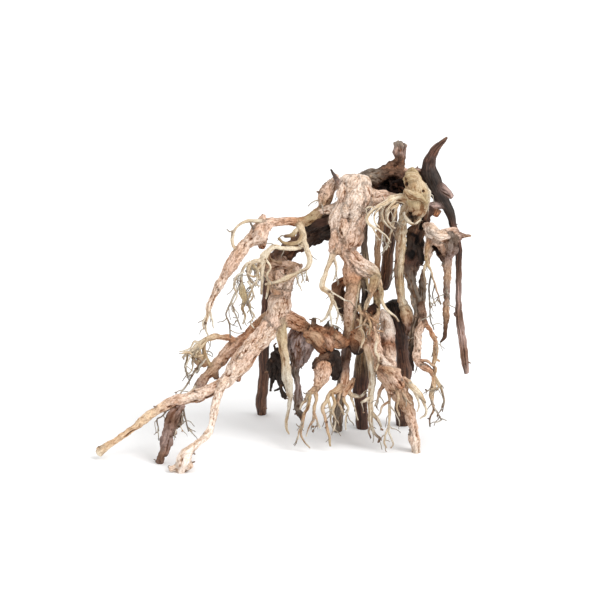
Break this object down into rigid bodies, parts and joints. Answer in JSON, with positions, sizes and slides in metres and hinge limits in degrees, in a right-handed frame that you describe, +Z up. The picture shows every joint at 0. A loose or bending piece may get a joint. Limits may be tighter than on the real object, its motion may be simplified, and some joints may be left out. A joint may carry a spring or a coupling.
{
  "type": "aquarium driftwood",
  "caption": "Branching aquarium driftwood scape of flecked roots, cream finger roots and dark sawn poles, arched over a swim-through gap.",
  "frame": {"origin": "on the floor under the middle of the whole piece's footprint", "axes": "+X along the width, from the long left limb to the hanging right pole; +Y from the front roots to the rear leg; +Z up"},
  "size_m": [0.5475, 0.2752, 0.4523],
  "materials": {
    "flecked_root": "dry, pinkish tan, flecked with small brown bark scales",
    "cream_root": "dry, cream, finely striped along the root",
    "pale_root": "dry, weathered grey cream",
    "dark_wood": "satin, dark reddish brown, streaked lengthwise",
    "weathered_bark": "matt, grey purple brown, fissured",
    "charred_wood": "matt, charcoal grey"
  },
  "bodies": {
    "root": {"cream_knob": "cream_root", "main_trunk": "flecked_root", "left_arm": "flecked_root", "left_root": "flecked_root", "left_back_root": "flecked_root", "dark_foot": "weathered_bark", "front_root": "flecked_root", "pale_root": "pale_root", "low_bridge": "flecked_root", "front_fingers": "cream_root", "pink_post": "flecked_root", "knee": "flecked_root", "right_root": "flecked_root", "horned_pole": "dark_wood", "right_trunk": "dark_wood", "crown": "dark_wood", "beam": "dark_wood", "bark_plate": "weathered_bark", "dark_knuckle": "charred_wood", "charred_scrap": "charred_wood", "front_leg": "weathered_bark", "middle_leg": "dark_wood", "right_leg": "dark_wood", "rear_left_leg": "dark_wood", "hanging_pole": "dark_wood", "thin_pole": "pale_root", "back_shard": "weathered_bark"}
  },
  "joints": []
}
